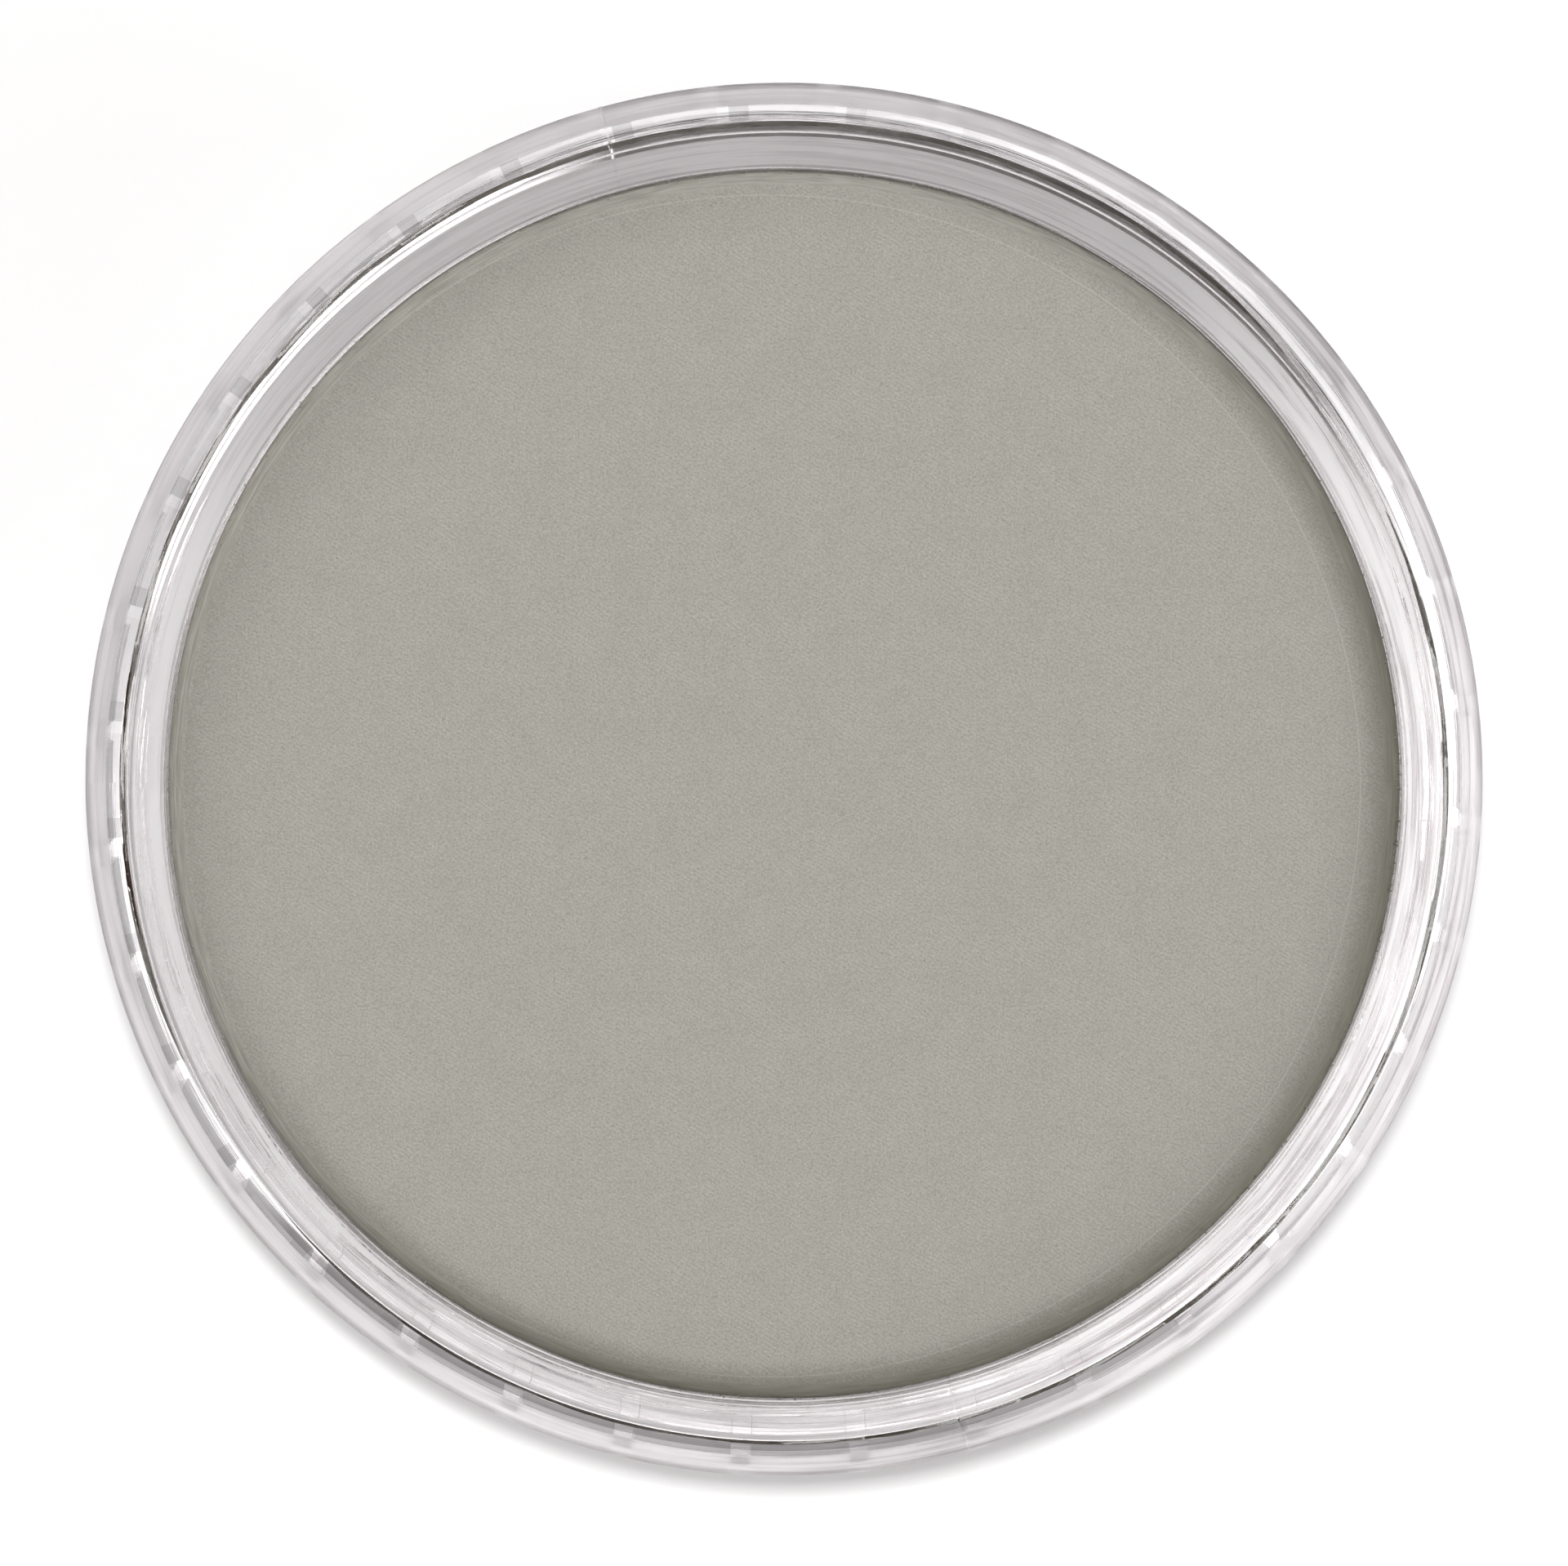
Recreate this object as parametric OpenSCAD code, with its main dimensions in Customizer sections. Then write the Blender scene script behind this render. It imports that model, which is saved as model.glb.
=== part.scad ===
// Open pan of pressed pigment for modelling and drawing.
// One clear moulding carries a round cake of dry colour. A screw neck around the
// cake takes a lid, or the skirt of the next pan in a stack.
// Origin: middle of the resting face. +Z points up, out of the open side of the pan.
// All lengths are in millimetres.

/* [Pigment cake] */
// Diameter of the pressed cake
cake_d = 54.4; // [45:0.1:75]
// Thickness of the cake
cake_h = 3.8; // [2.5:0.1:6]
// Radius of the rounded upper edge of the cake
cake_edge_r = 0.6; // [0.2:0.1:1.2]
// Gap between the cake and the wall of the dish, all round
cake_gap = 0.05; // [0.02:0.01:0.3]

/* [Dish] */
// Thickness of the dish floor
dish_floor = 1.2; // [0.8:0.1:2.5]
// Depth of the cake's surface below the lip
lip_above_cake = 1.0; // [0.3:0.1:3]

/* [Neck] */
// Thickness of the neck wall between the dish and the thread root
neck_wall = 1.7; // [1.2:0.1:3]
// Height of the neck above the shoulder
neck_h = 3.8; // [3.2:0.1:8]
// Radius of the lip's outer edge
lip_round = 0.36; // [0.1:0.02:0.6]
// Radius of the lip's inner edge
lip_inner_round = 0.15; // [0.05:0.05:0.4]

/* [Screw thread] */
// Height of the thread ridge above its root
thread_depth = 0.4; // [0.2:0.05:0.8]
// Width of the thread ridge at its root
thread_w = 0.8; // [0.6:0.1:0.9]
// Width of the thread ridge at its crest
thread_crest_w = 0.3; // [0.2:0.05:0.4]
// Distance between neighbouring ridges along the pan's axis
thread_pitch = 1.2; // [1.15:0.05:1.4]
// Angle that one ridge covers
thread_sweep = 205; // [120:5:260]
// Number of thread starts
thread_starts = 2; // [1:1:3]
// Radial clearance between a neck and the socket of the pan above it
thread_clearance = 0.15; // [0.1:0.05:0.3]

/* [Skirt] */
// Height from the resting face to the shoulder, which is the pitch of a stack
stack_pitch = 11.4; // [9.5:0.1:20]
// Thickness of the skirt wall between two grip ribs, outside the thread relief
skirt_wall = 0.65; // [0.5:0.05:2]
// Height of the thread relief inside the skirt above the ridges that it holds
relief_run = 0.2; // [0.1:0.1:1]
// Height of the plain foot ring below the grip ribs
foot_h = 1.1; // [0.8:0.1:3]
// Radius of the foot ring's lower outer edge
foot_round = 0.25; // [0.1:0.05:0.5]

/* [Grip ribs] */
// Number of grip ribs around the skirt
rib_count = 36; // [12:1:48]
// Width of one grip rib
rib_w = 0.9; // [0.5:0.05:1.5]
// Height of a grip rib above the skirt wall
rib_depth = 0.5; // [0.2:0.05:1]
// Turn of the rib pattern about the pan's axis
rib_turn = 6.3; // [0:0.1:10]

/* [Shoulder flange] */
// Distance that the flange reaches past the grip ribs
flange_overhang = 0.35; // [0.1:0.05:1.5]
// Thickness of the flange
flange_h = 1.0; // [0.7:0.1:2]
// Radius of the flange's upper outer edge
flange_round = 0.3; // [0.1:0.05:0.35]

/* [Base label] */
// Diameter of the blank paper label under the dish
label_d = 44; // [20:1:50]
// Thickness of the label
label_h = 0.12; // [0.08:0.01:0.3]

/* [Hidden] */
$fn = 96;
overrun = 1;     // how far a cutting solid runs past the face that it opens
weld = 0.25;     // how deep a rib or ridge is rooted in the wall that carries it
ridge_fade = 0.125; // share of a ridge's sweep over which each end rises out of the wall
ridge_dip = 0.3;    // how far inside the wall its ends begin, as a share of its height

// Radii, from the axis outwards
cake_r = cake_d / 2;
dish_r = cake_r + cake_gap;
neck_r = dish_r + neck_wall;
thread_r = neck_r + thread_depth;
socket_r = neck_r + thread_clearance;
relief_r = thread_r + thread_clearance;
skirt_r = relief_r + skirt_wall;
rib_r = skirt_r + rib_depth;
flange_r = rib_r + flange_overhang;

// Heights, from the resting face upwards
shoulder_z = stack_pitch;
lip_z = shoulder_z + neck_h;
cake_top_z = lip_z - lip_above_cake;
dish_z = cake_top_z - cake_h;
ceiling_z = dish_z - dish_floor;
flange_z = shoulder_z - flange_h;

// The ridges on the neck sit halfway between the shoulder and the round of the lip.
// When two pans are screwed together, each socket ridge lies between two of them. It
// starts thread_lag degrees further round than the neck ridge that it hooks under.
thread_rise = thread_pitch * thread_starts * thread_sweep / 360;
neck_thread_z = shoulder_z + (neck_h - lip_round - thread_rise) / 2;
neck_thread_turn = 20;
thread_lag = 100;
socket_thread_z = neck_thread_z - shoulder_z
    + thread_rise * thread_lag / thread_sweep - thread_pitch / 2;
socket_thread_turn = neck_thread_turn + thread_lag;
relief_z = socket_thread_z + thread_rise + thread_w / 2 + relief_run;

// A ring about the Z axis with a rounded outer upper edge and outer lower edge.
module ring(r_in, r_out, z_low, z_high, top_round = 0, low_round = 0) {
    rotate_extrude()
        union() {
            translate([r_in, z_low + low_round])
                square([r_out - r_in, z_high - z_low - top_round - low_round]);
            if (top_round > 0) {
                translate([r_in, z_high - top_round])
                    square([r_out - top_round - r_in, top_round]);
                translate([r_out - top_round, z_high - top_round])
                    intersection() {
                        circle(r = top_round);
                        square(top_round);
                    }
            }
            if (low_round > 0) {
                translate([r_in, z_low])
                    square([r_out - low_round - r_in, low_round]);
                translate([r_out - low_round, z_low + low_round])
                    intersection() {
                        circle(r = low_round);
                        translate([0, -low_round])
                            square(low_round);
                    }
            }
        }
}

// Height of a ridge above its root, as a share of the full height, t being the share
// of the sweep that has passed.
function ridge_share(t) = min(1, t / ridge_fade - ridge_dip, (1 - t) / ridge_fade - ridge_dip);

// One helical ridge on a wall of radius r. side is 1 for a ridge that stands
// outwards and -1 for one that stands inwards. Its flanks run on into the wall.
module ridge(r, side, z_start) {
    steps = ceil(thread_sweep / 6);
    flank = (thread_w - thread_crest_w) / 2 / thread_depth;
    section = function(t) let (
            height = max(-weld / 2, thread_depth * ridge_share(t)),
            root_w = thread_w + 2 * flank * weld,
            top_w = thread_w - 2 * flank * height,
            root = r - side * weld,
            crest = r + side * height,
            mid_z = z_start + thread_rise * t
        ) [
            [root, mid_z - root_w / 2],
            [crest, mid_z - top_w / 2],
            [crest, mid_z + top_w / 2],
            [root, mid_z + root_w / 2]
        ];
    corners = len(section(0));
    points = [
        for (i = [0 : steps]) let (t = i / steps, a = thread_sweep * t)
            for (p = section(t)) [p[0] * cos(a), p[0] * sin(a), p[1]]
    ];
    start_face = [for (k = [0 : corners - 1]) k];
    end_face = [for (k = [corners - 1 : -1 : 0]) steps * corners + k];
    walls = [
        for (i = [0 : steps - 1], k = [0 : corners - 1])
            let (here = i * corners, next = here + corners, k2 = (k + 1) % corners)
                [here + k2, here + k, next + k, next + k2]
    ];
    faces = concat([start_face], [end_face], walls);
    outwards = side < 0 ? faces : [for (f = faces) [for (k = [len(f) - 1 : -1 : 0]) f[k]]];
    polyhedron(points = points, faces = outwards, convexity = 6);
}

module thread_ridges(r, side, z_start, turn) {
    for (i = [0 : thread_starts - 1])
        rotate(turn + i * 360 / thread_starts)
            ridge(r, side, z_start);
}

module grip_ribs() {
    for (i = [0 : rib_count - 1])
        rotate(rib_turn + i * 360 / rib_count)
            translate([skirt_r - weld, -rib_w / 2, foot_h])
                cube([rib_depth + weld, rib_w, flange_z - foot_h]);
}

// Everything outside the dish: skirt, ribs, foot ring, flange and neck, as one solid.
module pan_outside() {
    union() {
        cylinder(r = skirt_r, h = shoulder_z);
        ring(0, rib_r, 0, foot_h, 0, foot_round);
        grip_ribs();
        ring(0, flange_r, flange_z, shoulder_z, flange_round);
        ring(0, neck_r, 0, lip_z, lip_round);
        thread_ridges(neck_r, 1, neck_thread_z, neck_thread_turn);
    }
}

// The dish that the cake is pressed into, with a rounded inner lip.
module dish_hollow() {
    translate([0, 0, dish_z])
        cylinder(r = dish_r, h = lip_z - dish_z + overrun);
    rotate_extrude()
        difference() {
            translate([0, lip_z - lip_inner_round])
                square([dish_r + lip_inner_round, lip_inner_round + overrun]);
            translate([dish_r + lip_inner_round, lip_z - lip_inner_round])
                circle(r = lip_inner_round);
        }
}

// The socket under the dish: a thread relief at its mouth and the guide bore above it.
module socket_hollow() {
    translate([0, 0, -overrun])
        cylinder(r = relief_r, h = relief_z + overrun);
    cylinder(r = socket_r, h = ceiling_z);
}

module pan() {
    color([0.90, 0.89, 0.90, 0.45])
        union() {
            difference() {
                pan_outside();
                dish_hollow();
                socket_hollow();
            }
            thread_ridges(relief_r, -1, socket_thread_z, socket_thread_turn);
        }
}

module pigment_cake() {
    color([0.655, 0.647, 0.612])
        ring(0, cake_r, dish_z, cake_top_z, cake_edge_r);
}

module base_label() {
    color([0.93, 0.92, 0.90])
        translate([0, 0, ceiling_z - label_h])
            cylinder(d = label_d, h = label_h);
}

pan();
pigment_cake();
base_label();
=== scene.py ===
"""Looks of an open pan of pressed pigment: the clear moulding, its cake and its label.

Everything is in metres in the frame of the part, with the pan's axis on Z and its foot on Z = 0.
Sizes below are in millimetres and repeat those of the part.
"""

import math

import bpy
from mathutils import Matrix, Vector, noise


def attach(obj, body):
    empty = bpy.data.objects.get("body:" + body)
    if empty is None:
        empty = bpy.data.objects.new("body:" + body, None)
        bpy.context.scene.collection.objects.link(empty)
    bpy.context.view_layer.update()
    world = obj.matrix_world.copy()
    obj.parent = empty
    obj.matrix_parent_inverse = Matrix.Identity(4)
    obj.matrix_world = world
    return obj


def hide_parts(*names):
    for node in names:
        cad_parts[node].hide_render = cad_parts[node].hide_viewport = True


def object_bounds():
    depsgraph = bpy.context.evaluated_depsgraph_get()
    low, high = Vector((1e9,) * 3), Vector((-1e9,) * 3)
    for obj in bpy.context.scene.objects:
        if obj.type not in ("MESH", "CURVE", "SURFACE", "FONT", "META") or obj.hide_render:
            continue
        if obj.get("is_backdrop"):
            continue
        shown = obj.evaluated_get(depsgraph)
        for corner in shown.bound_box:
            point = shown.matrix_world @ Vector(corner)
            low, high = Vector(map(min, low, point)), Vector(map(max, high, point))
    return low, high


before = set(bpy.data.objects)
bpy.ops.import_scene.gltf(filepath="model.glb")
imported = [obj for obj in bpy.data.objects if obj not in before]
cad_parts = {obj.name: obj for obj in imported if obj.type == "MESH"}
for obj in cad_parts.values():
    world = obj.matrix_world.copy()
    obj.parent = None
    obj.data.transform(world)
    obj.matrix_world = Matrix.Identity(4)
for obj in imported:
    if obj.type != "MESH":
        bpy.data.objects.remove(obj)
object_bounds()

MM = 0.001

# Sizes of the part, in millimetres
FOOT_R, FOOT_ROUND, FOOT_TOP_ROUND, FOOT_H = 30.65, 0.25, 0.3, 1.1
SKIRT_R, RIB_WIDTH, RIB_COUNT, RIB_TURN = 30.15, 0.9, 36, 6.3
FLANGE_R, FLANGE_LOW, SHOULDER_Z, FLANGE_ROUND = 31.0, 10.4, 11.4, 0.3
NECK_R, LIP_Z, LIP_ROUND, LIP_INNER_ROUND = 28.95, 15.2, 0.36, 0.15
DISH_R, DISH_Z, CEILING_Z = 27.25, 10.4, 9.2
SOCKET_R, RELIEF_R, RELIEF_Z = 29.1, 29.5, 3.07
CAKE_R, CAKE_TOP = 27.2, 14.2
THREAD_DEPTH, THREAD_HALF_ROOT, THREAD_HALF_CREST = 0.4, 0.4, 0.15
THREAD_RISE, THREAD_SWEEP, THREAD_STARTS = 1.3667, 205.0, 2
THREAD_FADE, THREAD_DIP = 0.125, 0.15  # share of the sweep in which a ridge's end rises, and where it starts
NECK_THREAD_Z, NECK_THREAD_TURN = 12.4367, 20.0
SOCKET_THREAD_Z, SOCKET_THREAD_TURN = 1.1033, 120.0

# Small forms that only the looks have, in millimetres and degrees
RIB_FLANK = 0.03  # length over which a rib rises from the skirt
CORNER_ROUND = 0.3  # round of the inner corners of dish and socket
PARTING, PARTING_REACH = (105.2, 285.4), 0.12  # the lines between the mould's halves, half their width
PARTING_NECK, PARTING_RIM, PARTING_TOP = 0.05, 0.04, 0.03  # their height on neck, rims and shoulder
CROWN, CROWN_FROM = 0.075, 25.0  # how the cake falls past this radius, per square millimetre
CAKE_FLAT_R, CAKE_DROP = 26.52, 0.6  # where the cake's rounded edge begins, and how far it falls


def linear(hex_colour):
    """Linear colour of an sRGB hex value."""
    parts = [int(hex_colour[i : i + 2], 16) / 255 for i in (1, 3, 5)]
    return tuple(c / 12.92 if c <= 0.04045 else ((c + 0.055) / 1.055) ** 2.4 for c in parts) + (1.0,)


RGBA, FLOAT, SMOOTH = {"data_type": "RGBA"}, {"data_type": "FLOAT"}, {"interpolation_type": "SMOOTHSTEP"}


def add(tree, kind, *values, settings=None, **links):
    """Adds a node. kind is its type, with the operation after a dot where it has one, as in "Math.ADD".
    Values go to its inputs in order, links to those of their name or number, as in i6. A node given as a
    value stands for its first output."""
    kind, _, operation = kind.partition(".")
    node = tree.nodes.new(kind if "Node" in kind else "ShaderNode" + kind)
    if operation:
        node.operation = operation
    for name, value in (settings or {}).items():
        setattr(node, name, value)
    inputs = dict(enumerate(values))
    for name, value in links.items():
        inputs[int(name[1:]) if name[1:].isdigit() else name.replace("_", " ")] = value
    for key, value in inputs.items():
        if isinstance(value, bpy.types.Node):
            value = value.outputs[0]
        if isinstance(value, bpy.types.NodeSocket):
            tree.links.new(value, node.inputs[key])
        else:
            node.inputs[key].default_value = value
    return node


def weighted(tree, *parts):
    """Sum of the parts, each a value and the weight that it is multiplied by."""
    total, *others = (add(tree, "Math.MULTIPLY", value, weight) for value, weight in parts)
    for part in others:
        total = add(tree, "Math.ADD", total, part)
    return total


# ---------------------------------------------------------------- shapes


def arc(centre_r, centre_z, radius, start, end, steps):
    """Points of an arc in the (radius, height) plane, angles in degrees."""
    turns = [math.radians(start + (end - start) * i / steps) for i in range(steps + 1)]
    return [(centre_r + radius * math.cos(turn), centre_z + radius * math.sin(turn)) for turn in turns]


def smooth_step(low, high, x):
    """0 to 1 as x goes from low to high, level at both ends."""
    t = min(1.0, max(0.0, (x - low) / (high - low)))
    return t * t * (3 - 2 * t)


def ridge_share(angle, z, start_z, turn):
    """How much of a thread ridge's full height stands at this angle and height, 0 to 1."""
    best = 0.0
    for start in range(THREAD_STARTS):
        along = (angle - turn - 360.0 * start / THREAD_STARTS) % 360.0
        if along > THREAD_SWEEP:
            continue
        t = along / THREAD_SWEEP
        height = min(1.0, t / THREAD_FADE - THREAD_DIP, (1 - t) / THREAD_FADE - THREAD_DIP)
        if height <= 0:
            continue
        off = abs(z - start_z - THREAD_RISE * t)
        best = max(best, height * (1.0 - smooth_step(THREAD_HALF_CREST * 0.7, THREAD_HALF_ROOT, off)))
    return best


def parting_share(angle):
    """How much of the parting line's full height stands at this angle, 0 to 1."""
    off = min(abs((angle - line + 180) % 360 - 180) for line in PARTING)
    return max(0.0, 1.0 - off / PARTING_REACH)


def skin_columns():
    """Angles at which the pan's skin is sampled, close together on the ribs' flanks and the parting lines."""
    pitch = 360.0 / RIB_COUNT
    offsets = (-5, -3.7, -2.4, -1.4, -0.88, -0.82, -0.3, 0.3, 0.82, 0.88, 1.4, 2.4, 3.7)
    angles = {round((RIB_TURN + k * pitch + off) % 360.0, 4) for k in range(RIB_COUNT) for off in offsets}
    for line in PARTING:
        angles |= {round(line + off, 4) for off in (-0.16, -0.08, 0.0, 0.08, 0.16)}
    return sorted(angles)


def pan_profile():
    """The pan's section as a closed loop of (radius, height, kind), from the foot out and over the lip."""
    rows = []

    def put(points, kind=""):
        rows.extend((r, z, kind) for r, z in points)

    # foot ring, skirt with the rows that the ribs are pushed out of, flange and shoulder
    put([(RELIEF_R + 0.18, 0.0), (29.98, 0.0)])
    put(arc(FOOT_R - FOOT_ROUND, FOOT_ROUND, FOOT_ROUND, -90, 0, 5))
    put(arc(FOOT_R - FOOT_TOP_ROUND, FOOT_H - FOOT_TOP_ROUND, FOOT_TOP_ROUND, 0, 84, 7))
    put([(SKIRT_R + 0.02, FOOT_H + 0.01), (SKIRT_R, FOOT_H + 0.06)], "rib")
    put([(SKIRT_R, z) for z in (2.5, 5.0, 7.5, 9.6, FLANGE_LOW - 0.12)], "rib")
    put([(SKIRT_R + 0.03, FLANGE_LOW - 0.03), (SKIRT_R + 0.12, FLANGE_LOW)], "rib")
    put([(FLANGE_R - 0.12, FLANGE_LOW)])
    put(arc(FLANGE_R - 0.08, FLANGE_LOW + 0.08, 0.08, -60, 0, 3), "seam")
    put([(FLANGE_R, 10.8)], "seam")
    put(arc(FLANGE_R - FLANGE_ROUND, SHOULDER_Z - FLANGE_ROUND, FLANGE_ROUND, 0, 90, 8), "seam_top")
    put([(30.2, SHOULDER_Z), (29.6, SHOULDER_Z), (29.15, SHOULDER_Z)], "seam_top")
    put(arc(NECK_R + 0.15, SHOULDER_Z + 0.15, 0.15, 260, 190, 3), "seam")
    # neck with its thread, and lip
    steps = 34
    low, high = SHOULDER_Z + 0.2, LIP_Z - LIP_ROUND - 0.02
    put([(NECK_R, low + (high - low) * i / steps) for i in range(steps + 1)], "neck")
    put(arc(NECK_R - LIP_ROUND, LIP_Z - LIP_ROUND, LIP_ROUND, 0, 88, 8), "lip")
    inner, outer = DISH_R + LIP_INNER_ROUND, NECK_R - LIP_ROUND
    middle, half = (inner + outer) / 2, (outer - inner) / 2
    put([(middle + half * s, LIP_Z) for s in (0.75, 0.5, 0.25, 0.0, -0.25, -0.5, -0.75)], "lip")
    put(arc(inner, LIP_Z - LIP_INNER_ROUND, LIP_INNER_ROUND, 92, 180, 5))
    # dish
    put([(DISH_R, z) for z in (14.8, 14.2, 12.5, 10.8)])
    put(arc(DISH_R - CORNER_ROUND, DISH_Z + CORNER_ROUND, CORNER_ROUND, 0, -90, 4))
    put([(0.0, DISH_Z), (0.0, CEILING_Z)], "axis")
    # socket underneath, down to the thread relief at its mouth
    put([(22.2, CEILING_Z), (28.2, CEILING_Z)])
    put(arc(SOCKET_R - CORNER_ROUND, CEILING_Z - CORNER_ROUND, CORNER_ROUND, 90, 0, 4))
    put([(SOCKET_R, 7.0), (SOCKET_R, 5.0), (SOCKET_R, RELIEF_Z + 0.3), (SOCKET_R + 0.06, RELIEF_Z + 0.1)])
    steps = 24
    low, high = 0.16, RELIEF_Z - 0.02
    put([(RELIEF_R, high - (high - low) * i / steps) for i in range(steps + 1)], "relief")
    put([(RELIEF_R + 0.05, 0.05)])
    return rows


def lathe(name, rows, angles, radius_at, height_at):
    """A closed skin: each row of the profile is swept round all the angles. Axis rows are single points."""
    verts, faces, rings = [], [], []
    for r, z, kind in rows:
        if kind == "axis":
            rings.append([len(verts)])
            verts.append((0.0, 0.0, z * MM))
            continue
        rings.append(list(range(len(verts), len(verts) + len(angles))))
        for angle in angles:
            radius, turn = radius_at(r, z, kind, angle), math.radians(angle)
            height = height_at(r, z, kind, angle)
            verts.append((radius * math.cos(turn) * MM, radius * math.sin(turn) * MM, height * MM))
    count = len(angles)
    for i, here in enumerate(rings):
        ahead = rings[(i + 1) % len(rings)]
        if len(here) == 1 and len(ahead) == 1:
            continue
        for j in range(count):
            k = (j + 1) % count
            if len(here) == 1:
                faces.append((here[0], ahead[k], ahead[j]))
            elif len(ahead) == 1:
                faces.append((here[j], here[k], ahead[0]))
            else:
                faces.append((here[j], here[k], ahead[k], ahead[j]))
    mesh = bpy.data.meshes.new(name)
    mesh.from_pydata(verts, [], faces)
    mesh.validate()
    for face in mesh.polygons:
        face.use_smooth = True
    obj = bpy.data.objects.new(name, mesh)
    bpy.context.collection.objects.link(obj)
    return obj


def new_tree(name, inputs):
    """A Geometry Nodes tree with a Geometry output and the named inputs, each (name, socket kind, value)."""
    tree = bpy.data.node_groups.new(name, "GeometryNodeTree")
    for label, kind, value in inputs:
        socket = tree.interface.new_socket(label, in_out="INPUT", socket_type="NodeSocket" + kind)
        if value is not None:
            socket.default_value = value
    tree.interface.new_socket("Geometry", in_out="OUTPUT", socket_type="NodeSocketGeometry")
    return tree, add(tree, "NodeGroupInput").outputs


def close_tree(tree, geometry, material):
    """Realizes the instances of a tree's geometry, gives it the material and sends it to the output."""
    real = add(tree, "GeometryNodeRealizeInstances", geometry)
    add(tree, "NodeGroupOutput", add(tree, "GeometryNodeSetMaterial", Geometry=real, Material=material))


def grown(name, base, tree, values):
    """Runs a tree on the object base, which is used up, and returns the result as a new plain mesh object."""
    modifier = base.modifiers.new("nodes", "NODES")
    modifier.node_group = tree
    for item in tree.interface.items_tree:
        if item.name in values:
            modifier[item.identifier] = values[item.name]
    bpy.context.view_layer.update()
    mesh = bpy.data.meshes.new_from_object(base.evaluated_get(bpy.context.evaluated_depsgraph_get()))
    bpy.data.objects.remove(base)
    result = bpy.data.objects.new(name, mesh)
    bpy.context.collection.objects.link(result)
    return result


def rib_nodes():
    """Geometry Nodes that push grip ribs out of a round skin. The skin's attribute rib_reach says how far
    a rib stands out at each point."""
    tree, given = new_tree(
        "grip_ribs",
        (
            ("Geometry", "Geometry", None),
            ("Rib Count", "Float", RIB_COUNT),
            ("Rib Width", "Float", RIB_WIDTH * MM),
            ("Flank", "Float", RIB_FLANK * MM),
            ("Turn", "Float", math.radians(RIB_TURN)),
            ("Material", "Material", None),
        ),
    )
    x, y, _ = add(tree, "SeparateXYZ", add(tree, "GeometryNodeInputPosition")).outputs
    level = add(tree, "CombineXYZ", x, y)
    radius = add(tree, "VectorMath.LENGTH", level).outputs["Value"]
    # distance along the skin from the middle of the nearest rib
    angle = add(tree, "Math.SUBTRACT", add(tree, "Math.ARCTAN2", y, x), given["Turn"])
    half = add(tree, "Math.MULTIPLY", add(tree, "Math.DIVIDE", math.tau, given["Rib Count"]), 0.5)
    off = add(tree, "Math.WRAP", angle, half, add(tree, "Math.MULTIPLY", half, -1.0))
    along = add(tree, "Math.MULTIPLY", add(tree, "Math.ABSOLUTE", off), radius)
    side = add(tree, "Math.MULTIPLY", given["Rib Width"], 0.5)
    soft = add(tree, "Math.MULTIPLY", given["Flank"], 0.5)
    outer, inner = add(tree, "Math.ADD", side, soft), add(tree, "Math.SUBTRACT", side, soft)
    share = add(tree, "MapRange", along, outer, inner, settings=SMOOTH)
    reach = add(tree, "GeometryNodeInputNamedAttribute", settings=FLOAT, Name="rib_reach")
    outwards = add(tree, "VectorMath.NORMALIZE", level)
    push = add(tree, "VectorMath.SCALE", outwards, Scale=add(tree, "Math.MULTIPLY", share, reach))
    ribbed = add(tree, "GeometryNodeSetPosition", Geometry=given["Geometry"], Offset=push)
    close_tree(tree, ribbed, given["Material"])
    return tree


def build_pan(material):
    """The clear moulding: its section swept round, with thread ridges and parting lines, then the ribs."""

    def radius_at(r, z, kind, angle):
        if kind == "neck":
            ridge = THREAD_DEPTH * ridge_share(angle, z, NECK_THREAD_Z, NECK_THREAD_TURN)
            return r + ridge + PARTING_NECK * parting_share(angle)
        if kind == "relief":
            return r - THREAD_DEPTH * ridge_share(angle, z, SOCKET_THREAD_Z, SOCKET_THREAD_TURN)
        if kind in ("seam", "seam_top"):
            return r + PARTING_RIM * parting_share(angle)
        return r

    def height_at(r, z, kind, angle):
        return z + {"lip": PARTING_RIM, "seam_top": PARTING_TOP}.get(kind, 0.0) * parting_share(angle)

    profile, columns = pan_profile(), skin_columns()
    plain = lathe("plain_pan", profile, columns, radius_at, height_at)
    reach = []
    for r, z, kind in profile:
        reach += [0.0] if kind == "axis" else [(FOOT_R - r) * MM if kind == "rib" else 0.0] * len(columns)
    plain.data.attributes.new("rib_reach", "FLOAT", "POINT").data.foreach_set("value", reach)
    pan = grown("pan_body", plain, rib_nodes(), {"Material": material})
    pan.data.attributes.remove(pan.data.attributes["rib_reach"])
    pan.data.set_sharp_from_angle(angle=math.radians(34))
    return pan


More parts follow.
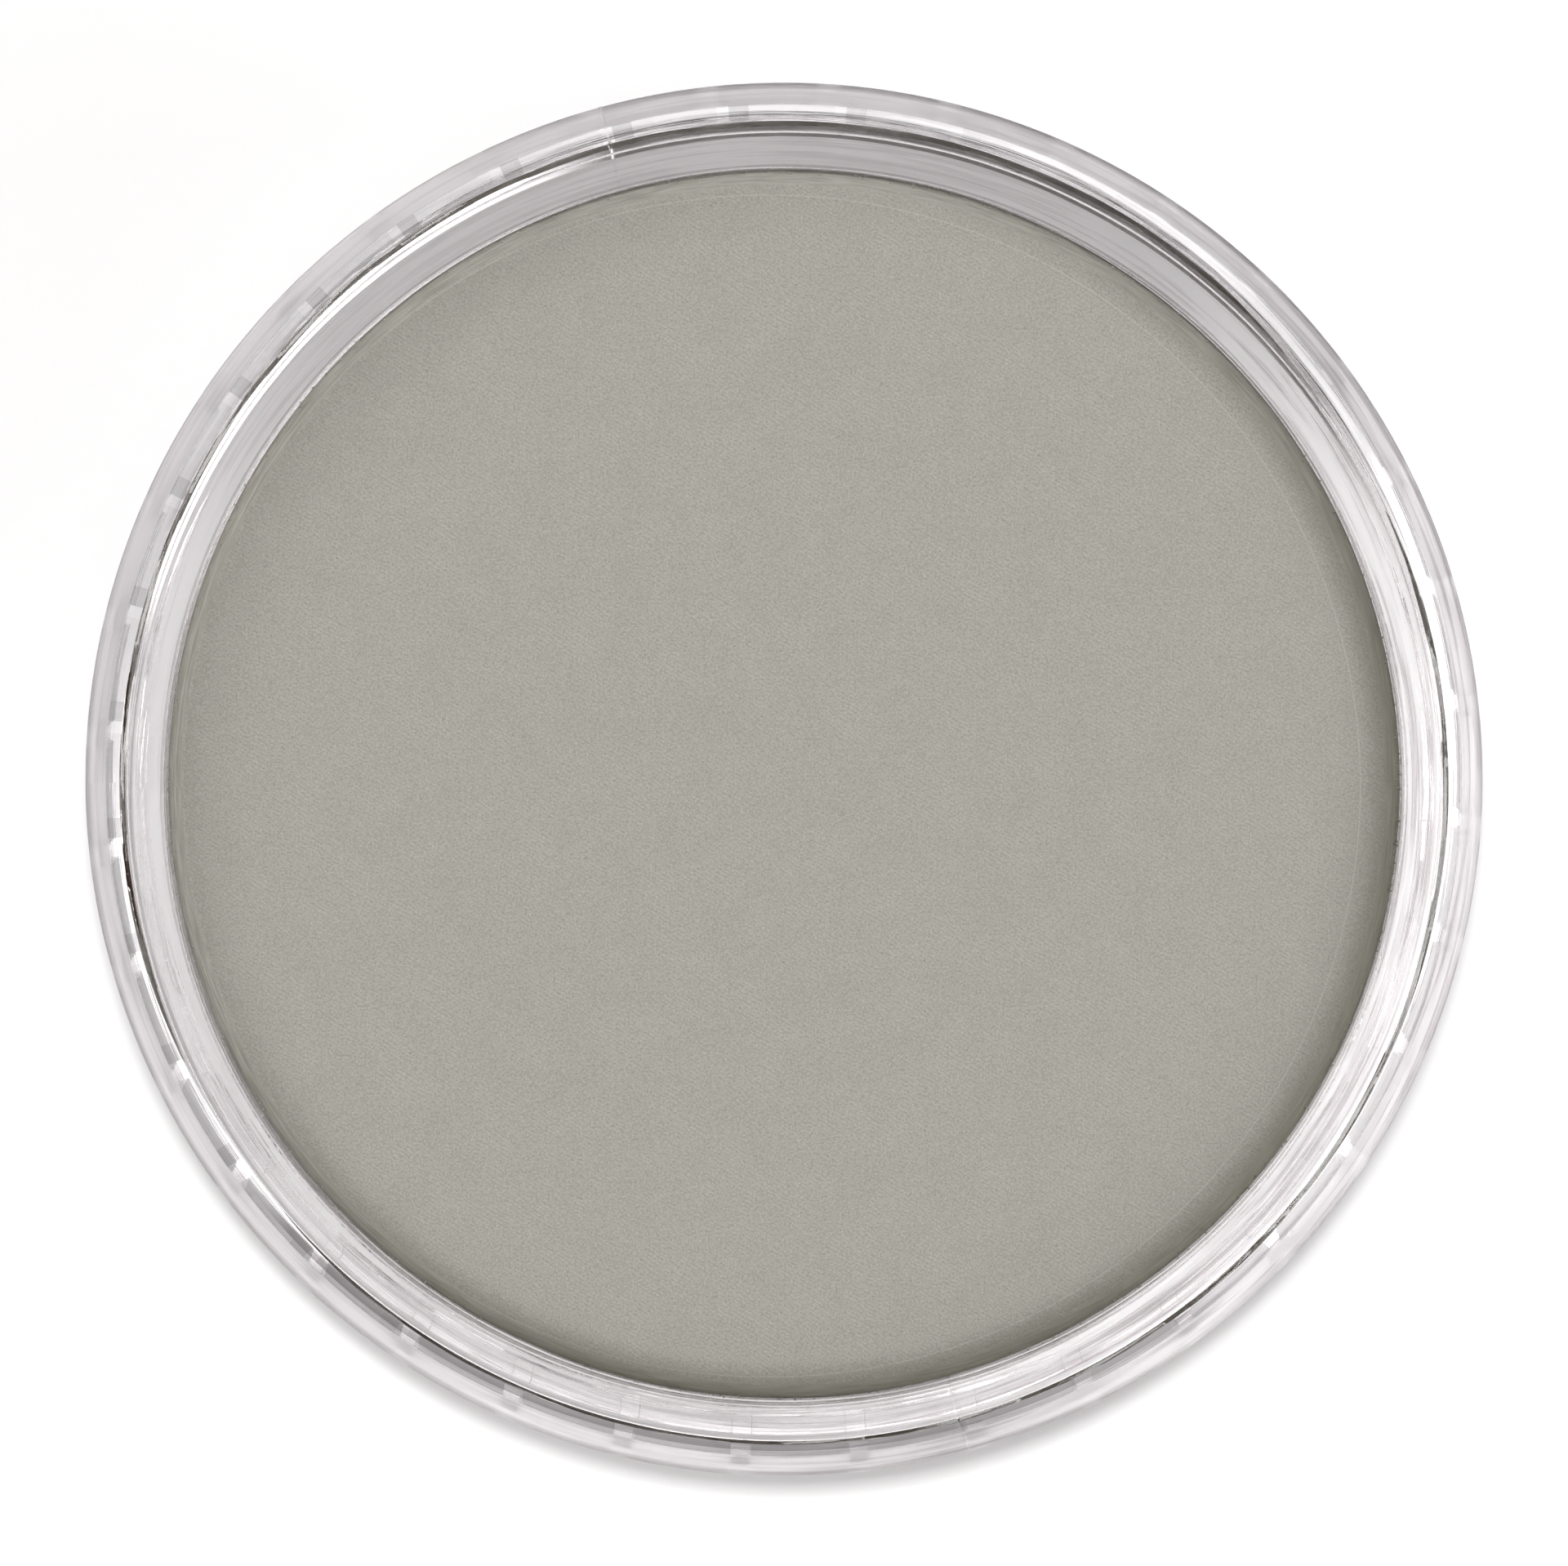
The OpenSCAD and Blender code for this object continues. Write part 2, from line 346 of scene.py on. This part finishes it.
def build_cake():
    """The cake: a flat pressed top that falls towards a rounded, slightly uneven edge of packed powder."""
    steps = 900
    angles = [360.0 * i / steps for i in range(steps)]
    edge_r = CAKE_R - CAKE_FLAT_R
    rows = [(0.0, CAKE_TOP, "axis")]
    top = (6, 12, 18, 22, 24, 25, 25.5, 25.9, 26.1, 26.25, 26.35, 26.42, 26.48)
    rows += [(r, CAKE_TOP, "top") for r in top]
    for degrees in (0, 6, 12, 18, 24, 30, 36, 42, 50, 58, 66, 74, 82, 90):
        a = math.radians(degrees)
        rows.append((CAKE_FLAT_R + edge_r * math.sin(a), CAKE_TOP - CAKE_DROP * (1 - math.cos(a)), "edge"))
    rows += [(CAKE_R, 12.6, "side"), (CAKE_R, 11.2, "side"), (CAKE_R - 0.25, 10.5, "side")]
    rows += [(CAKE_R - 0.6, 10.42, "side"), (0.0, 10.42, "axis")]

    def rough(r, angle, per_mm, seed):
        turn = math.radians(angle)
        return noise.noise(Vector((r * math.cos(turn) * per_mm, r * math.sin(turn) * per_mm, seed)))

    def radius_at(r, z, kind, angle):
        if kind == "edge":
            return r + 0.03 * rough(r, angle, 1.7, 3.0) * (CAKE_R - r) / 0.7
        return r

    def height_at(r, z, kind, angle):
        if kind == "top":
            near = smooth_step(25.6, 26.48, r)
            return z - CROWN * max(0.0, r - CROWN_FROM) ** 2 + 0.015 * near * rough(r, angle, 2.6, 7.0)
        if kind == "edge":
            fall = CROWN * (26.5 - CROWN_FROM) ** 2
            crest = 0.02 * max(0.0, 1.0 - (r - CAKE_FLAT_R) / 0.18)
            return z - fall + crest + 0.03 * rough(r, angle, 2.2, 5.0) + 0.012 * rough(r, angle, 7.0, 9.0)
        return z

    return lathe("pigment_block", rows[::-1], angles, radius_at, height_at)


def grain_nodes():
    """Geometry Nodes that scatter loose grains round a ring. Every number input has its own name and default.
    """
    tree, given = new_tree(
        "clinging_grains",
        (
            ("Geometry", "Geometry", None),
            ("Count", "Int", 520),
            ("Ring Radius", "Float", 27.12 * MM),
            ("Radius Spread", "Float", 0.09 * MM),
            ("Ring Height", "Float", 14.02 * MM),
            ("Height Spread", "Float", 0.3 * MM),
            ("Grain Size", "Float", 0.05 * MM),
            ("Seed", "Int", 4),
            ("Material", "Material", None),
        ),
    )

    def chance(low, high, shift):
        """A random number for each grain, from its own seed."""
        seed = add(tree, "Math.ADD", given["Seed"], shift)
        draw = add(tree, "FunctionNodeRandomValue", settings=FLOAT, i2=low, i3=high, Seed=seed)
        return draw.outputs[1]

    def around(middle, spread, shift):
        """A random length for each grain, at most spread from the middle."""
        off = add(tree, "Math.MULTIPLY", given[spread], chance(-1, 1, shift))
        return add(tree, "Math.ADD", given[middle], off)

    turn = chance(0.0, math.tau, 1)
    radius = around("Ring Radius", "Radius Spread", 2)
    x = add(tree, "Math.MULTIPLY", radius, add(tree, "Math.COSINE", turn))
    y = add(tree, "Math.MULTIPLY", radius, add(tree, "Math.SINE", turn))
    place = add(tree, "CombineXYZ", x, y, around("Ring Height", "Height Spread", 3))
    points = add(tree, "GeometryNodePoints", Count=given["Count"], Position=place)
    grain = add(tree, "GeometryNodeMeshIcoSphere", Radius=1.0, Subdivisions=1)
    size = add(tree, "CombineXYZ", chance(0.5, 1.6, 4), chance(0.5, 1.3, 5), chance(0.5, 1.1, 6))
    scale = add(tree, "VectorMath.SCALE", size, Scale=given["Grain Size"])
    spin = add(tree, "CombineXYZ", chance(0, 6.2, 7), chance(0, 6.2, 8), chance(0, 6.2, 9))
    sown = add(tree, "GeometryNodeInstanceOnPoints", points, Instance=grain, Rotation=spin, Scale=scale)
    close_tree(tree, sown, given["Material"])
    return tree


def build_grains(material):
    """Loose grains of pigment that cling to the wall along the cake's edge."""
    holder = bpy.data.objects.new("grain_holder", bpy.data.meshes.new("grain_holder"))
    bpy.context.collection.objects.link(holder)
    return grown("clinging_grains", holder, grain_nodes(), {"Material": material})


# ---------------------------------------------------------------- materials


def new_material(name):
    material = bpy.data.materials.new(name)
    material.use_nodes = True
    material.node_tree.nodes.clear()
    return material, material.node_tree


def polar(tree):
    """Radius in millimetres, angle in radians and height in millimetres of the shaded point."""
    x, y, z = add(tree, "SeparateXYZ", add(tree, "TexCoord").outputs["Object"]).outputs
    squares = add(tree, "Math.ADD", add(tree, "Math.MULTIPLY", x, x), add(tree, "Math.MULTIPLY", y, y))
    radius = add(tree, "Math.MULTIPLY", add(tree, "Math.SQRT", squares), 1000.0)
    return radius, add(tree, "Math.ARCTAN2", y, x), add(tree, "Math.MULTIPLY", z, 1000.0)


def facing(tree, angle, side, low, high, least=0.0, settings=None):
    """least to 1 as the cosine of the angle to a side of the pan goes from low to high. side is in degrees
    from +X, anticlockwise."""
    cosine = add(tree, "Math.COSINE", add(tree, "Math.SUBTRACT", angle, math.radians(side)))
    return add(tree, "MapRange", cosine, low, high, least, settings=settings)


# Turning marks of the mould: colours of their light and dark streaks, painted highlight and painted shade in
# the plastic's tint for how the marks catch the light, then streaks to the millimetre across them and to the
# radian along them
STREAK_SHADE, STREAK_HIGHLIGHT = "#c2bcbe", "#fffdfe"
STREAK_FINE, STREAK_BROAD = (6.5, 2.5), (2.2, 4.0)
STREAK_MEAN, STREAK_LAMP_SIDE, MARKS_LOW = 0.75, -20, 0.35  # mean tone, side of the right softbox where the streaks are painted strongest, their share elsewhere
TOOL_LINES, TOOL_DEPTH = 0.15, 0.05 * MM  # strength and depth of the marks in the surface
# Painted highlight and painted shade over the shoulder, for the ribs and the thread relief seen through it:
# shade colour, middle and half width in millimetres of the bars and of the band, the shoulder's reach
PAINTED_SHADE_COLOUR, BAR_R, BAND_R, ON_SHOULDER = "#6f6a6c", (29.73, 0.36), (29.66, 0.18), 0.06
BAR_SIDE, PAINTED_FIELD_SHADE, PAINTED_BAR_SHADE = 155, 0.22, 0.35  # side of the left softbox where the bars are painted, painted shade between them and added in the dark bars
PAINTED_HIGHLIGHT_BAR, PAINTED_SHADE_BAR = (0.48, 0.05), (0.615, 0.085)  # painted highlight bar and painted shade bar: middle and half width, as shares of the ribs' pitch
# side of the painted dark band, and its strength
BAND_SIDE, PAINTED_BAND_SHADE = -96, 0.85
# Powder on the inner lip: colour, share, half width and radii of its two lines, then where its beads are
LINE_COLOUR, LINE_SHARE, LINE_HALF, LINES_R = "#4c4a42", 0.5, 0.045, (DISH_R + 0.03, DISH_R + 0.17)
BEADS, BEADS_R, BEADS_HALF, BEADS_PER_RADIAN = 6.0, DISH_R + 0.08, 0.14, 75.0
POLISHED, SATIN, SATIN_TOP, SATIN_FROM = 0.015, 0.45, 0.5, 30.0  # roughnesses, radius where satin begins
SHADE = 0.12  # share of the light that each face of the plastic lets through


def clear_polystyrene():
    """Crystal polystyrene, injection moulded in a turned mould: clear, hard and bright, with a trace of
    lilac. The turning marks run round it as fine light and dark streaks in its tint, painted highlight and
    painted shade for how they catch the light, strongest on the side of the right softbox, and the lip's
    inner edge is a little beaded with powder. The flange and the grip are satin, as the mould was only
    blasted there."""
    material, tree = new_material("clear_moulded_polystyrene")
    radius, angle, height = polar(tree)

    def turned(per_mm, per_radian):
        """Noise drawn out along the turning direction."""
        scaled = zip((radius, angle, height), (per_mm, per_radian, per_mm))
        at = add(tree, "CombineXYZ", *(add(tree, "Math.MULTIPLY", length, per) for length, per in scaled))
        return add(tree, "TexNoise", Vector=at, Scale=1.0, Detail=2.0, Roughness=0.6)

    fine, broad = turned(*STREAK_FINE), turned(*STREAK_BROAD)
    streaks = weighted(tree, (fine, 0.65), (broad, 0.35))
    tone = add(tree, "Math.SUBTRACT", add(tree, "MapRange", streaks, 0.42, 0.51), STREAK_MEAN)
    # painted highlight and painted shade: the streaks are strongest on the side of the right softbox, whose
    # light they catch, and weaker elsewhere
    lamp_side_contrast = facing(tree, angle, STREAK_LAMP_SIDE, -0.2, 0.8, least=MARKS_LOW)
    tone = add(tree, "Math.ADD", add(tree, "Math.MULTIPLY", tone, lamp_side_contrast), STREAK_MEAN)
    ends = {"i6": linear(STREAK_SHADE), "i7": linear(STREAK_HIGHLIGHT)}
    colour = add(tree, "Mix", settings=RGBA, i0=tone, **ends).outputs[2]

    # painted highlight and painted shade: each grip rib is drawn over the shoulder as a light and a dark bar
    # beside it, on the side away from the light, shown towards the left softbox, with painted shade between
    # the bars
    turns = add(tree, "Math.ADD", add(tree, "Math.MULTIPLY", angle, -RIB_COUNT / math.tau), 9.0)
    turn = add(tree, "Math.FRACT", turns)
    bright, dark = (add(tree, "Math.COMPARE", turn, *bar) for bar in (PAINTED_HIGHLIGHT_BAR, PAINTED_SHADE_BAR))
    shoulder = add(tree, "Math.COMPARE", height, SHOULDER_Z, ON_SHOULDER)
    barred = add(tree, "Math.MULTIPLY", add(tree, "Math.COMPARE", radius, *BAR_R), shoulder)
    shown = add(tree, "Math.MULTIPLY", facing(tree, angle, BAR_SIDE, 0.0, 0.45), barred)
    field = add(tree, "Math.SUBTRACT", PAINTED_FIELD_SHADE, add(tree, "Math.MULTIPLY", bright, PAINTED_FIELD_SHADE))
    bars = add(tree, "Math.ADD", field, add(tree, "Math.MULTIPLY", dark, PAINTED_BAR_SHADE))
    bars = add(tree, "Math.MULTIPLY", shown, bars)
    # painted shade: on the near side a plain darker band is painted over the shoulder where the thread relief
    # inside the skirt looks dark through it
    band = add(tree, "Math.MULTIPLY", add(tree, "Math.COMPARE", radius, *BAND_R), shoulder)
    band = add(tree, "Math.MULTIPLY", band, facing(tree, angle, BAND_SIDE, 0.69, 0.75))
    bars = add(tree, "Math.ADD", bars, add(tree, "Math.MULTIPLY", band, PAINTED_BAND_SHADE))
    colour = add(tree, "Mix", settings=RGBA, i0=bars, i6=colour, i7=linear(PAINTED_SHADE_COLOUR)).outputs[2]

    # powder rubbed into the two corners of the lip's inner round, and beads of it between them
    on_lip = add(tree, "Math.GREATER_THAN", height, LIP_Z - 0.4)
    for line_r in LINES_R:
        line = add(tree, "Math.MULTIPLY", add(tree, "Math.COMPARE", radius, line_r, LINE_HALF), on_lip)
        line = add(tree, "Math.MULTIPLY", line, LINE_SHARE)
        colour = add(tree, "Mix", settings=RGBA, i0=line, i6=colour, i7=linear(LINE_COLOUR)).outputs[2]
    at = add(tree, "CombineXYZ", add(tree, "Math.MULTIPLY", angle, BEADS_PER_RADIAN), radius)
    beads = add(tree, "TexNoise", Vector=at, Scale=1.0, Detail=1.0)
    beads = add(tree, "Math.MULTIPLY", beads, add(tree, "Math.COMPARE", radius, BEADS_R, BEADS_HALF))
    relief = add(tree, "Math.ADD", fine, add(tree, "Math.MULTIPLY", beads, BEADS))
    bump = add(tree, "Bump", Strength=TOOL_LINES, Distance=TOOL_DEPTH, Height=relief)

    outside = add(tree, "MapRange", radius, SATIN_FROM, SATIN_FROM + 0.12)
    below = add(tree, "Math.LESS_THAN", height, SHOULDER_Z - 0.5)
    satin = add(tree, "Math.ADD", add(tree, "Math.MULTIPLY", below, SATIN - SATIN_TOP), SATIN_TOP)
    rough = add(tree, "Math.ADD", add(tree, "Math.MULTIPLY", outside, satin), POLISHED)
    glass = add(tree, "BsdfPrincipled", Base_Color=colour, Roughness=rough, IOR=1.59, Normal=bump)
    glass.inputs["Transmission Weight"].default_value = 1.0
    clear = add(tree, "BsdfTransparent", (SHADE, SHADE, SHADE, 1))
    shadow = add(tree, "LightPath").outputs["Is Shadow Ray"]
    add(tree, "OutputMaterial", Surface=add(tree, "MixShader", shadow, glass, clear))
    return material


CAKE_DARK, CAKE_LIGHT = "#908e85", "#bcbab2"
GRAIN, GRAIN_PER_MM = 1.6, 11.0  # weight and fineness of the grain
CLOUDS, CLOUDS_PER_MM = 0.22, 0.5  # weight and fineness of the patches
TWILL, TWILL_PITCH = 0.07, 0.172  # weight of the cloth's ribs, and millimetres from one to the next
SPECKS, SPECKS_PER_MM, SPECK_SIZE = 0.45, 1.6, 0.07  # weight, number to the millimetre, share of a spacing
HAIRLINE, HAIRLINE_R, PUNCH_OFF = 0.32, (26.14, 0.025), (0.72, 0.04)  # weight, radius and half width, offset
# Painted shade on the cake's rim, where the pan's wall and the rounded edge keep the low lamps' light off:
# colour, strength, radii from and to
EDGE_SHADE_COLOUR, EDGE_SHADE_TONE, EDGE_FROM, EDGE_TO = "#50503f", 0.68, 25.3, 27.15
EDGE_SHADE_SIDE, EDGE_SHADE_LEFT, EDGE_SHADE_LEFT_SHARE = -50, 165, 0.3  # the side with the most painted shade, a second one, and its share
CLOTH_DEPTH = 0.04 * MM


def pressed_pigment():
    """Dry pigment and chalk pressed through a fine twill cloth: dead matt and powdery, with the cloth's
    slanting ribs in patches, a few dark and pale grains, a hairline ring from the edge of the punch, and a
    rubbed rim."""
    material, tree = new_material("pressed_dry_pigment")
    place = add(tree, "VectorMath.SCALE", add(tree, "TexCoord").outputs["Object"], Scale=1000.0)
    radius, angle, _ = polar(tree)
    x, y, _ = add(tree, "SeparateXYZ", place).outputs
    grain = add(tree, "TexNoise", Vector=place, Scale=GRAIN_PER_MM, Detail=2.0, Roughness=0.7)
    cloudy = add(tree, "TexNoise", Vector=place, Scale=CLOUDS_PER_MM, Detail=3.0, Roughness=0.6)

    # slanting ribs of the cloth, bent a little and stronger in patches
    bend = add(tree, "Math.MULTIPLY", add(tree, "TexNoise", Vector=place, Scale=0.7, Detail=2.0), 14.0)
    across = weighted(tree, (x, 0.52), (y, 0.854))
    phase = add(tree, "Math.ADD", add(tree, "Math.MULTIPLY", across, math.tau / TWILL_PITCH), bend)
    patches = add(tree, "Math.MULTIPLY", add(tree, "MapRange", cloudy, 0.42, 0.58), 0.75)
    twill = add(tree, "Math.MULTIPLY", add(tree, "Math.SINE", phase), add(tree, "Math.ADD", patches, 0.25))

    # the rim beyond the punch is rubbed, with marks that run inwards
    outwards, around = add(tree, "Math.MULTIPLY", radius, 11.0), add(tree, "Math.MULTIPLY", angle, 14.0)
    at = add(tree, "CombineXYZ", outwards, around)
    rubbed = add(tree, "Math.MULTIPLY", add(tree, "TexNoise", Vector=at, Scale=1.0, Detail=2.0), GRAIN)
    rim = add(tree, "MapRange", radius, 26.45, 26.7)

    # pale and dark grains, and the hairline of the punch, which sat a little off centre
    specks = add(tree, "TexVoronoi", Vector=place, Scale=SPECKS_PER_MM)
    chance = add(tree, "SeparateColor", specks.outputs["Color"])
    pale, dark = add(tree, "Math.GREATER_THAN", chance, 0.86), add(tree, "Math.LESS_THAN", chance, 0.12)
    inside = add(tree, "Math.LESS_THAN", specks.outputs["Distance"], SPECK_SIZE)
    speck = add(tree, "Math.MULTIPLY", inside, add(tree, "Math.SUBTRACT", pale, dark))
    dx, dy = add(tree, "Math.ADD", x, PUNCH_OFF[0]), add(tree, "Math.ADD", y, PUNCH_OFF[1])
    squares = add(tree, "Math.ADD", add(tree, "Math.MULTIPLY", dx, dx), add(tree, "Math.MULTIPLY", dy, dy))
    hairline = add(tree, "Math.COMPARE", add(tree, "Math.SQRT", squares), *HAIRLINE_R)

    plain = weighted(tree, (grain, GRAIN), (twill, TWILL))
    level = add(tree, "Mix", settings=FLOAT, i0=rim, i2=plain, i3=rubbed)
    for mark, weight in ((cloudy, CLOUDS), (speck, -SPECKS), (hairline, HAIRLINE)):
        level = add(tree, "Math.ADD", level, add(tree, "Math.MULTIPLY", mark, weight))
    mean = (GRAIN + CLOUDS) / 2
    tone = add(tree, "MapRange", level, mean - 0.5, mean + 0.5)
    powder = add(tree, "Mix", settings=RGBA, i0=tone, i6=linear(CAKE_DARK), i7=linear(CAKE_LIGHT)).outputs[2]
    relief = weighted(tree, (grain, 0.7), (twill, 0.12))
    bump = add(tree, "Bump", Strength=0.5, Distance=CLOTH_DEPTH, Height=relief)

    # the powder beyond the off-centre punch is packed darker on the far side of its travel
    # painted shade: the cake's rim is darkened most towards the lower right and less towards the left, where
    # the wall and the rounded edge keep the low lamps' light off
    left = add(tree, "Math.MULTIPLY", facing(tree, angle, EDGE_SHADE_LEFT, 0.3, 0.95), EDGE_SHADE_LEFT_SHARE)
    weight = add(tree, "Math.MAXIMUM", facing(tree, angle, EDGE_SHADE_SIDE, -0.6, 0.5), left)
    edge = add(tree, "MapRange", radius, EDGE_FROM, EDGE_TO, settings=SMOOTH)
    edge_shade = add(tree, "Math.MULTIPLY", add(tree, "Math.MULTIPLY", edge, weight), EDGE_SHADE_TONE)
    colour = add(tree, "Mix", settings=RGBA, i0=edge_shade, i6=powder, i7=linear(EDGE_SHADE_COLOUR)).outputs[2]
    powdery = {"Roughness": 0.95, "Specular_IOR_Level": 0.15}
    matt = add(tree, "BsdfPrincipled", Base_Color=colour, Normal=bump, **powdery)
    add(tree, "OutputMaterial", Surface=matt)
    return material


def label_paper():
    """Uncoated white paper: soft, slightly mottled by its fibres."""
    material, tree = new_material("uncoated_label_paper")
    place = add(tree, "TexCoord").outputs["Object"]
    fibre = add(tree, "TexNoise", Vector=place, Scale=900.0, Detail=4.0)
    colour = add(tree, "Mix", settings=RGBA, i0=fibre, i6=linear("#e9e7e2"), i7=linear("#f6f4f0")).outputs[2]
    bump = add(tree, "Bump", Strength=0.2, Distance=0.02 * MM, Height=fibre)
    paper = add(tree, "BsdfPrincipled", Base_Color=colour, Roughness=0.85, Normal=bump)
    add(tree, "OutputMaterial", Surface=paper)
    return material


FLOOR_CAMERA = 0.18  # white that the camera sees on top of what the lamps give the card
# Light on the card as it is seen through the pan: beside the pan, under its skirt and under its dish
OUTSIDE, NEAR, DEEP, NEAR_R, DEEP_R = 0.26, 0.28, 0.35, 29.45, 27.0
# Patches in it: azimuth clockwise from +Y and half width in degrees, radii in millimetres from and to, level
GLOWS = (
    (108, 60, 29.5, 99, 0.31),
    (225, 62, 29.5, 99, 0.22),
    (10, 50, 29.5, 99, 0.12),
    (150, 95, 33.0, 99, 0.50),
    (135, 115, 31.6, 33.0, 0.30),
    (115, 85, 27.0, 29.4, 0.44),
    (245, 75, 27.0, 29.4, 0.28),
    (20, 50, 0, 26.2, -0.60),
    (312, 34, 0, 26.1, 1.80),
    (115, 60, 0, 26.9, 0.52),
)


def floor_white():
    """White card. The camera gets a part of its white as plain white on top of what the lamps give it. What
    is seen through the pan is darker, with brighter patches where light comes through the plastic."""
    material, tree = new_material("white_card")
    card = add(tree, "BsdfDiffuse", linear("#f4f4f4"))
    radius, angle, _ = polar(tree)
    shown = OUTSIDE
    for place, level in ((NEAR_R, NEAR), (DEEP_R, DEEP)):
        within = add(tree, "MapRange", radius, place + 0.15, place - 0.15)
        shown = add(tree, "Mix", settings=FLOAT, i0=within, i2=shown, i3=level)
    for azimuth, width, low, high, level in GLOWS:
        rim, core = math.cos(math.radians(width)), math.cos(math.radians(width * 0.35))
        lobe = facing(tree, angle, 90 - azimuth, rim, core, settings=SMOOTH)
        past = add(tree, "MapRange", radius, low - 0.2, low + 0.2)
        short = add(tree, "MapRange", radius, high + 0.2, high - 0.2)
        patch = add(tree, "Math.MULTIPLY", add(tree, "Math.MULTIPLY", past, short), lobe)
        shown = add(tree, "Math.ADD", shown, add(tree, "Math.MULTIPLY", patch, level))
    path = add(tree, "LightPath").outputs
    rays = path["Is Glossy Ray"], path["Is Transmission Ray"]
    through = add(tree, "Math.ADD", *rays, settings={"use_clamp": True})
    seen = add(tree, "Math.MULTIPLY", through, add(tree, "Math.MAXIMUM", shown, 0.0))
    straight = add(tree, "Math.MULTIPLY", path["Is Camera Ray"], FLOOR_CAMERA)
    glow = add(tree, "Emission", (1, 1, 1, 1), add(tree, "Math.ADD", seen, straight))
    add(tree, "OutputMaterial", Surface=add(tree, "AddShader", card, glow))
    return material


def set_material(obj, material):
    obj.data.materials.clear()
    obj.data.materials.append(material)


pan = build_pan(clear_polystyrene())
pigment = pressed_pigment()
cake = build_cake()
set_material(cake, pigment)
grains = build_grains(pigment)
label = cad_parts["base_label"]
for slot in label.material_slots:
    slot.material = label_paper()

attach(pan, "root")
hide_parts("pan")
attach(cake, "root")
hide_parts("pigment_cake")
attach(grains, "root")

# ---------------------------------------------------------------- floor, lights, camera

mesh = bpy.data.meshes.new("floor")
mesh.from_pydata([(-2, -2, 0), (2, -2, 0), (2, 2, 0), (-2, 2, 0)], [], [(0, 1, 2, 3)])
floor = bpy.data.objects.new("floor", mesh)
bpy.context.collection.objects.link(floor)
set_material(floor, floor_white())
floor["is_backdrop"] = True

LAMP_DISTANCE = 0.8  # metres from the pan to every lamp
LAMP_SIZE, LAMP_LEVEL = 0.06, 0.585  # the overhead lamp's side in metres, and its light on the card


def softbox(name, azimuth, elevation, width, height, glow):
    """A rectangular lamp aimed at the pan: azimuth clockwise from +Y and elevation in degrees, size in
    metres, and how many times as bright as white paper its face is."""
    lamp = bpy.data.lights.new(name, "AREA")
    lamp.shape, lamp.size, lamp.size_y = "RECTANGLE", width, height
    lamp.energy = glow * math.pi * width * height
    turn, lift = math.radians(azimuth), math.radians(elevation)
    obj = bpy.data.objects.new(name, lamp)
    direction = Vector((math.sin(turn) * math.cos(lift), math.cos(turn) * math.cos(lift), math.sin(lift)))
    obj.location = direction * LAMP_DISTANCE
    to_pan = Vector((0, 0, 0)) - obj.location
    obj.rotation_euler = to_pan.to_track_quat("-Z", "Y").to_euler()
    bpy.context.collection.objects.link(obj)
    return obj


softbox("right_softbox", 110.0, 18.0, 0.78, 0.25, 5.4)
softbox("low_right_softbox", 160.0, 12.0, 0.6, 0.14, 5.0)
softbox("left_softbox", 298.0, 15.0, 0.95, 0.2, 5.8)
softbox("high_softbox", 280.0, 67.0, 0.8, 0.25, 0.45)
lamp_glow = LAMP_LEVEL * math.pi * LAMP_DISTANCE**2 / LAMP_SIZE**2
overhead = softbox("overhead_lamp", 0.0, 81.2, LAMP_SIZE, LAMP_SIZE, lamp_glow)
# it gives the cake its light but leaves no glare on the plastic
overhead.visible_glossy = overhead.visible_transmission = False

# The room that the plastic mirrors, by the sine of the elevation: pale low down, dark walls, a pale ceiling
HORIZON, WALLS, CEILING = (0.4, 0.4, 0.4, 1), linear("#3a2c28"), (0.8, 0.8, 0.8, 1)
world = bpy.data.worlds.new("studio")
bpy.context.scene.world = world
world.use_nodes = True
tree = world.node_tree
tree.nodes.clear()
up = add(tree, "SeparateXYZ", add(tree, "TexCoord").outputs["Generated"]).outputs[2]
room = add(tree, "ValToRGB", up)
stops = room.color_ramp.elements
stops.new(0.93)
stops.new(0.98)
for stop, place, colour in zip(stops, (0.16, 0.26, 0.93, 0.98), (HORIZON, WALLS, WALLS, CEILING)):
    stop.position, stop.color = place, colour
add(tree, "OutputWorld", Surface=add(tree, "Background", room, 1.0))

TILT, CAMERA_Z = math.radians(4.1), 0.5
PIXELS_PER_MM, PICTURE_WIDTH, SENSOR = 27.61, 1920, 36
target = Vector((0, 0, SHOULDER_Z * MM))
camera = bpy.data.cameras.new("camera")
eye = bpy.data.objects.new("camera", camera)
eye.location = (0, (CAMERA_Z - target.z) * math.tan(TILT), CAMERA_Z)
eye.rotation_euler = (-TILT, 0, 0)
camera.sensor_width = SENSOR
camera.lens = PIXELS_PER_MM * 1000 * SENSOR * (target - eye.location).length / PICTURE_WIDTH
bpy.context.collection.objects.link(eye)
scene = bpy.context.scene
scene.camera = eye
scene.view_settings.view_transform = "Standard"
scene.cycles.transmission_bounces = 16
scene.cycles.max_bounces = 24

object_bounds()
